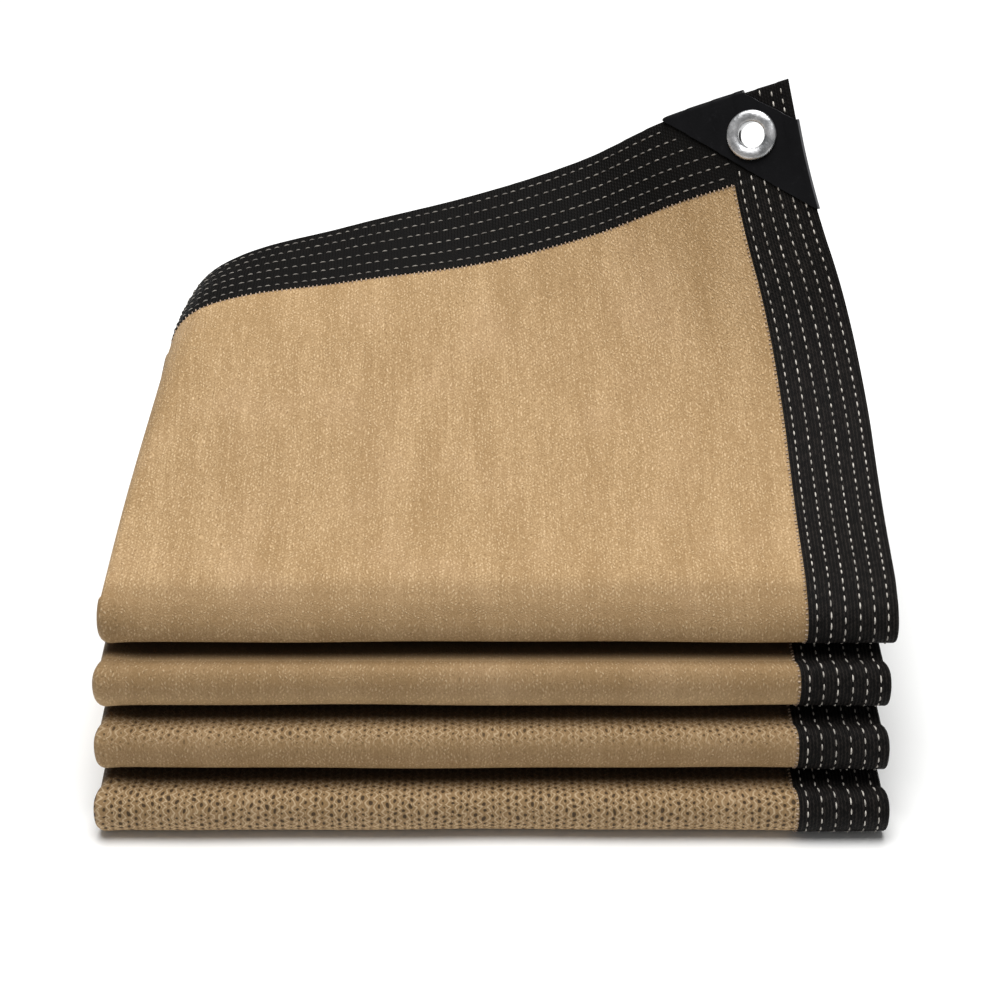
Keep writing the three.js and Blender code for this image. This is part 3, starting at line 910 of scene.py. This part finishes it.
def make_lower_end_tape():
    edges = PATH_END - EDGE_STEPS / BORDER
    stations = np.unique([*evenly(PATH_END - 1, PATH_END, 12), *edges])
    profile = round_fold(WIDTH, WIDTH, 24, 24)
    return tape_sheet("end_tape_lower", stations, profile, lambda x, t: BORDER * (PATH_END - t))


def corner_surface(from_side, from_end):
    """Points and normals of the flap's raised corner."""
    x = WIDTH - from_side
    s = flap_length(x) - from_end
    sideways = flap_point(x + GRID, s) - flap_point(x - GRID, s)
    along = flap_point(x, s + GRID) - flap_point(x, s - GRID)
    return flap_point(x, s), unit(np.cross(sideways, along))


def make_corner_tape():
    """Square of tape at the corner, in rings from the eyelet's hole out to its four edges."""
    centre = np.array(EYELET_AT)
    square = np.array([[0, 0], [0, BORDER], [BORDER, BORDER], [BORDER, 0]])
    to_corners = np.arctan2(*(square - centre).T[::-1])
    turn = np.unique([*to_corners, *(turns(EYELET_SIDES) - np.pi)])
    ray = np.stack([np.cos(turn), np.sin(turn)], -1)
    edges = np.where(ray > 0, BORDER - centre, centre)
    reach = np.min(edges / np.maximum(np.abs(ray), 1e-9), axis=1)
    rings = np.array([0, 0.2, 0.4, 0.6, 0.75, 0.88, 0.95, 0.99, 1])[:, None]
    distance = HOLE_R + rings * (reach - HOLE_R)
    from_side, from_end = np.moveaxis(centre + distance[..., None] * ray, -1, 0)
    points, normals = corner_surface(from_side, from_end)
    x, station = WIDTH - from_side, from_end / BORDER
    points = points + normals * unevenness(x, station)[..., None] + SHIFT
    half = TAPE_HALF * rounded(np.minimum(from_side, from_end))
    places = np.stack([x, from_end - flap_length(x), station], -1)
    return grid_sheet("corner_tape", points, normals, places, -half, half, TAPE, ring=True)


# Corner patch and eyelet

WRAP_ACROSS = 40  # steps of the patch from edge to edge
WRAP_ROUND = 10  # round each edge
WRAP_ALONG = 32  # and from its tip to its long side
CUTTER_LENGTH = 30.0
SHARP = math.radians(40)  # edges that turn more than this stay sharp
EYELET_FOOT = 0.15  # crown's edge above its flange
EYELET_BEVELS = (0.4, 0.3)  # at the washer, and at the bore and flange


def patch_wrap(grow):
    """Rings round the corner, from the patch's cut-off tip to its long side, at a distance
    from the tape. A ring runs over the top, round the side edge, below, round the end edge."""
    top, bottom = CLOTH / 2 + grow, CLOTH / 2 - TAPE_FULL - grow
    swing = evenly(0, np.pi, WRAP_ROUND)[1:-1]
    flat, out = evenly(0, 1, WRAP_ACROSS), grow * np.sin(swing)
    turning = mix(bottom, top, (1 + np.cos(swing)) / 2)
    inward = np.concatenate([flat, out * 0 + 1, flat[::-1], out * 0])
    past_side = np.concatenate([flat * 0, out, flat * 0, out * 0])
    past_end = np.concatenate([flat * 0, out * 0, flat * 0, out])
    height = np.concatenate([flat * 0 + top, turning, flat * 0 + bottom, turning[::-1]])
    w = evenly(0, 1, WRAP_ALONG)[:, None]
    along, down = (mix(tip, long_side, w) for tip, long_side in zip(PATCH_TIP, PATCH_LONG))
    points, normals = corner_surface(along * (1 - inward) - past_side, down * inward - past_end)
    return points + SHIFT + normals * height[:, None]


def hole_cutter():
    centre, normal = corner_surface(*EYELET_AT)
    bpy.ops.mesh.primitive_cylinder_add(
        vertices=EYELET_SIDES, radius=HOLE_R * MM, depth=CUTTER_LENGTH * MM
    )
    cutter = bpy.context.object
    turn = Vector(normal).to_track_quat("Z", "Y").to_matrix().to_4x4()
    cutter.matrix_world = Matrix.Translation(Vector((centre + SHIFT) * MM)) @ turn
    return cutter


def make_patch():
    """Plastic patch wrapped round both edges of the corner, with the eyelet's hole cut out."""
    outside, inside = patch_wrap(PATCH_OUT), patch_wrap(PATCH_CLEAR)
    thing = shell("wrapped_patch", outside, inside, PLASTIC, ring=True)
    cutter = hole_cutter()
    cut = thing.modifiers.new("hole", "BOOLEAN")
    cut.object, cut.solver = cutter, "EXACT"
    bpy.context.view_layer.update()
    with_hole = thing.evaluated_get(bpy.context.evaluated_depsgraph_get())
    made = bpy.data.meshes.new_from_object(with_hole)
    thing.modifiers.clear()
    thing.data = made
    made.set_sharp_from_angle(angle=SHARP)
    bpy.data.objects.remove(cutter)
    return thing


def eyelet_profile():
    """Closed outline, as radius and height: crowned ring, wall of the bore, and washer."""
    bore, barrel, flange, washer, rim, crown_height = EYELET.values()
    above = CLOTH / 2 + PATCH_OUT + EYELET_CLEAR
    below = CLOTH / 2 - TAPE_FULL - PATCH_OUT - EYELET_CLEAR
    foot, (bevel, small) = below - rim, EYELET_BEVELS
    middle, half, swing = (bore + flange) / 2, (flange - bore) / 2, evenly(0, np.pi, 18)
    rise = above + EYELET_FOOT + crown_height * np.sin(swing) ** 0.8
    crown = np.stack([middle + half * np.cos(swing), rise], -1)
    wall = np.stack([np.full(5, bore), evenly(above - bevel, foot + small, 4)], -1)
    under = [
        (bore + small, foot), (washer - bevel, foot), (washer, foot + bevel),
        (washer, below), (barrel, below), (barrel, above), (flange - small, above),
    ]
    return np.concatenate([crown, wall, under])


def make_eyelet():
    """Pressed eyelet, its outline turned about its axis."""
    centre, normal = corner_surface(*EYELET_AT)
    first = unit(np.cross(normal, (0.0, 1.0, 0.0)))
    second, turn = np.cross(normal, first), turns(EYELET_SIDES)
    ray = np.cos(turn)[:, None] * first + np.sin(turn)[:, None] * second
    profile = eyelet_profile()
    vertices = centre + SHIFT + profile[:, None, :1] * ray + profile[:, None, 1:] * normal
    index = np.arange(len(profile) * EYELET_SIDES).reshape(len(profile), EYELET_SIDES)
    following, beside = np.roll(index, -1, 0), np.roll(index, -1, 1)
    faces = np.stack([index, following, np.roll(following, -1, 1), beside], -1).reshape(-1, 4)
    return new_object("rolled_eyelet", vertices.reshape(-1, 3), faces, ALUMINIUM)


net = make_net()
side_tape = make_side_tape("side_tape", 1)
side_tape_under = make_side_tape("side_tape_under", -1)
end_tape = make_end_tape()
corner_tape = make_corner_tape()
eyelet = make_eyelet()
patch = make_patch()
end_tape_lower = make_lower_end_tape()

# Each piece hides the part's node that it stands for, and hangs from the root body
for piece, node, slot in (
    (net, "net_cloth", "net"),
    (side_tape, "side_border", "tape"),
    (side_tape_under, "side_border_under", "tape"),
    (end_tape, "end_border", "tape"),
    (corner_tape, "corner_border", "tape"),
    (end_tape_lower, "end_border_lower", "tape"),
    (eyelet, "eyelet", "eyelet"),
    (patch, "corner_patch", "patch"),
):
    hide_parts(node)
    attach(piece, "root")


# Stitching: six rows along each tape, and loops of the net's edge over the seam

ROW_OFFSETS = np.array([3.6, 10.4, 17.2, 24.4, 31.2, 37.8])  # from the seam
STITCH_PITCH = 5.0
STITCH_LENGTH = 3.1
STITCH_STRAY = 0.3
STITCH_RADII = np.array([0.2, 0.4, 0.42, 0.2])
STITCH_LIFT = np.array([-0.15, 0.22, 0.22, -0.15])
STITCH_FLAT = 0.75  # height of a thread to its width
LOOP_PITCH = 2.4
LOOP_STRAY = 0.12
LOOP_REACH = np.array([-1.2, -0.7, -0.2, 0.2, 0.5])  # past the seam, over the tape
SIDE_LOOP_REACH = np.array([-1.2, -0.8, -0.4, -0.1, 0.15])
LOOP_LIFT = np.array([0.6, 1.1, 1.4, 1.45, 1.2])
LOOP_RADII = np.array([0.3, 0.45, 0.48, 0.38, 0.2])
LOOP_FLAT = 0.6
LOWEST_THREAD = 0.4  # least height of a thread's middle over the floor
CLEAR_OF_TIP = 0.95  # threads show up to this share of the way to the patch's tip
CLEAR_OF_LONG = 1.02  # and from this share of the way to its long side


def dense_stations(start, end):
    """Stations close enough to follow a thread."""
    found = stations_between(start, end)
    return np.unique([*found, *((found[1:] + found[:-1]) / 2)])


def along_lines(points, normals, distances, line):
    """Points and normals at distances along one line of a grid, whose first axis runs along."""
    run = lengths_along(points[:, line])
    return tuple(
        np.stack([np.interp(distances, run, grid[:, line, i]) for i in range(3)], -1)
        for grid in (points, normals)
    )


def line_length(points, line):
    return np.linalg.norm(np.diff(points[:, line], axis=0), axis=1).sum()


def bare(from_side, from_end):
    """Whether a place on the flap's corner lies clear of the patch."""
    tip, long_side = (
        from_side / along + from_end / down for along, down in (PATCH_TIP, PATCH_LONG)
    )
    return (tip < CLEAR_OF_TIP) | (long_side > CLEAR_OF_LONG)


# Rules for which threads show

def everywhere(line, start, points):
    return np.ones(len(start), bool)


def past_patch_side(line, start, points):
    return bare(BORDER - ROW_OFFSETS[line], start + STITCH_LENGTH / 2)


def past_patch_end(line, start, points):
    from_side = BORDER + line_length(points, line) - start - STITCH_LENGTH / 2
    return bare(from_side, BORDER - ROW_OFFSETS[::-1][line])


def stitch_paths(points, normals, side, shown):
    """Short threads along every line of a grid, standing on one side of the tape."""
    paths, ups = [], []
    for line in range(points.shape[1]):
        count = int(line_length(points, line) / STITCH_PITCH)
        start = (np.arange(count) + random.uniform(0, 1)) * STITCH_PITCH
        start = start + random.uniform(-STITCH_STRAY, STITCH_STRAY, count)
        length = STITCH_LENGTH * random.uniform(0.8, 1.12, count)
        steps = evenly(0, 1, len(STITCH_RADII) - 1)
        distances = (start[:, None] + length[:, None] * steps)[shown(line, start, points)]
        place, facing = along_lines(points, normals, distances, line)
        facing = facing * side
        paths.append(place + facing * (TAPE_HALF + STITCH_LIFT)[:, None])
        ups.append(facing)
    return np.concatenate(paths), np.concatenate(ups)


def make_stitches(name, sets, thread=THREAD):
    """Threads on sets of a grid, the side of it that they stand on, and a rule for which show."""
    found = [stitch_paths(*grid) for grid in sets]
    paths = np.concatenate([f[0] for f in found])
    ups = np.concatenate([f[1] for f in found])
    paths[..., 2] = np.maximum(paths[..., 2], LOWEST_THREAD)
    return tubes(name, paths, ups, STITCH_RADII, STITCH_FLAT, thread)


def side_grid(start, end, side):
    """Grid along the side tape's rows: side 1 is the outer ply, -1 the inner one."""
    rows = np.sort(side * (SEAM + ROW_OFFSETS))
    return net_surface(dense_stations(start, end), lambda t: rows)[:2]


def end_grid(at_end, high, steps):
    """Grid along the rows of an end tape, from the inner ply's open edge to place high."""
    rows = ROW_OFFSETS / BORDER
    stations = np.sort(1 - rows if at_end == "flap" else PATH_END - 1 + rows)
    reach = max(fold_reach(t) for t in stations)
    inner, outer = evenly(-WIDTH, -reach, steps)[:-1], evenly(reach, high, steps)[1:]
    places = np.concatenate([inner, evenly(-reach, reach, 16), outer])
    surface = net_surface(stations, lambda t: places)[:2]
    return [grid.transpose(1, 0, 2) for grid in surface]


def make_loops(name, points, normals):
    """Loops over a seam, on a grid of len(LOOP_REACH) lines along it."""
    middle = len(LOOP_REACH) // 2
    count = int(line_length(points, middle) / LOOP_PITCH)
    steps = (np.arange(count) + 0.5) / count
    paths, ups = [], []
    for line, lift in enumerate(LOOP_LIFT):
        distances = steps * line_length(points, line)
        place, facing = along_lines(points, normals, distances, line)
        paths.append(place + facing * lift)
        ups.append(facing)
    paths, ups = np.stack(paths, 1), np.stack(ups, 1)
    paths += random.normal(0, LOOP_STRAY, (count, 1, 3))
    paths[..., 2] = np.maximum(paths[..., 2], LOWEST_THREAD)
    return tubes(name, paths, ups, LOOP_RADII, LOOP_FLAT, LOOP)


def make_side_loops():
    places = SEAM - TAPE_LAP + SIDE_LOOP_REACH
    surface = net_surface(dense_stations(1, PATH_END - 1), lambda t: places)[:2]
    return make_loops("side_loops", *surface)


def make_end_loops():
    stations = np.sort(1 + (TAPE_LAP - LOOP_REACH) / (LENGTH_LEFT - BORDER))
    edge = SEAM - TAPE_LAP
    surface = net_surface(stations, round_fold(edge, edge, 60, 110, 16))[:2]
    return make_loops("end_loops", *(grid.transpose(1, 0, 2)[:, ::-1] for grid in surface))


outer_side, inner_side = side_grid(0, PATH_END, 1), side_grid(0, PATH_END, -1)
flap_end_rows = end_grid("flap", SEAM, 40)
stitches = [
    make_stitches("stitches_side", [
        (*outer_side, 1, past_patch_side), (*side_grid(0, 2, 1), -1, past_patch_side)
    ]),
    make_stitches("stitches_side_under", [
        (*inner_side, 1, everywhere), (*side_grid(0, 2, -1), -1, everywhere)
    ]),
    make_stitches("stitches_end", [
        (*flap_end_rows, 1, past_patch_end), (*flap_end_rows, -1, past_patch_end)
    ], SHADED_THREAD),
    make_stitches("stitches_end_lower", [
        (*end_grid("bottom", WIDTH, 30), 1, everywhere)
    ], SHADED_THREAD),
]
loops = [make_side_loops(), make_end_loops()]
for piece in stitches + loops:
    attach(piece, "root")


# Camera, floor and light

CAMERA_ELEVATION = 37.5
FOCAL_PIXELS = 2100.0
PHOTO_PIXELS = 990.0
SENSOR = 36.0
FAR_CLIP = 50.0
CAMERA_FROM_TOP_FOLD = (-0.3, -768.8, 662.8)  # from the middle of the top front fold
FLOOR_SIZE = 8.0
WORLD_STRENGTH = 0.2
LIGHT_PLACE = (-0.02, 0.12, 2.0)
LIGHT_AIM = (0, 0, 0.1)
LIGHT_SIZE = 1.7
LIGHT_WATTS = 60


def make_camera():
    data = bpy.data.cameras.new("camera")
    data.sensor_width = SENSOR
    data.lens = FOCAL_PIXELS / PHOTO_PIXELS * data.sensor_width
    data.clip_end = FAR_CLIP
    camera = bpy.data.objects.new("camera", data)
    top_fold = np.array([0.0, 0.0, fold_height(0)]) + SHIFT
    camera.location = (top_fold + CAMERA_FROM_TOP_FOLD) * MM
    camera.rotation_euler = (math.radians(90 - CAMERA_ELEVATION), 0, 0)
    bpy.context.scene.collection.objects.link(camera)
    bpy.context.scene.camera = camera


def make_floor():
    bpy.ops.mesh.primitive_plane_add(size=FLOOR_SIZE, location=(0, 0, 0))
    floor = bpy.context.object
    floor.name = "floor"
    n = Nodes("pale floor")
    n.surface(FLOOR_PALE, 0.9)
    floor.data.materials.append(n.material)


def make_lights():
    world = bpy.data.worlds.new("studio")
    bpy.context.scene.world = world
    world.use_nodes = True
    background = world.node_tree.nodes["Background"]
    background.inputs["Color"].default_value = (1, 1, 1, 1)
    background.inputs["Strength"].default_value = WORLD_STRENGTH
    data = bpy.data.lights.new("top", "AREA")
    data.shape = "DISK"
    data.size = LIGHT_SIZE
    data.energy = LIGHT_WATTS
    light = bpy.data.objects.new("top", data)
    light.location = LIGHT_PLACE
    direction = Vector(LIGHT_AIM) - Vector(LIGHT_PLACE)
    light.rotation_euler = direction.to_track_quat("-Z", "Y").to_euler()
    bpy.context.scene.collection.objects.link(light)
    bpy.context.scene.view_settings.view_transform = "Standard"


make_camera()
make_floor()
make_lights()
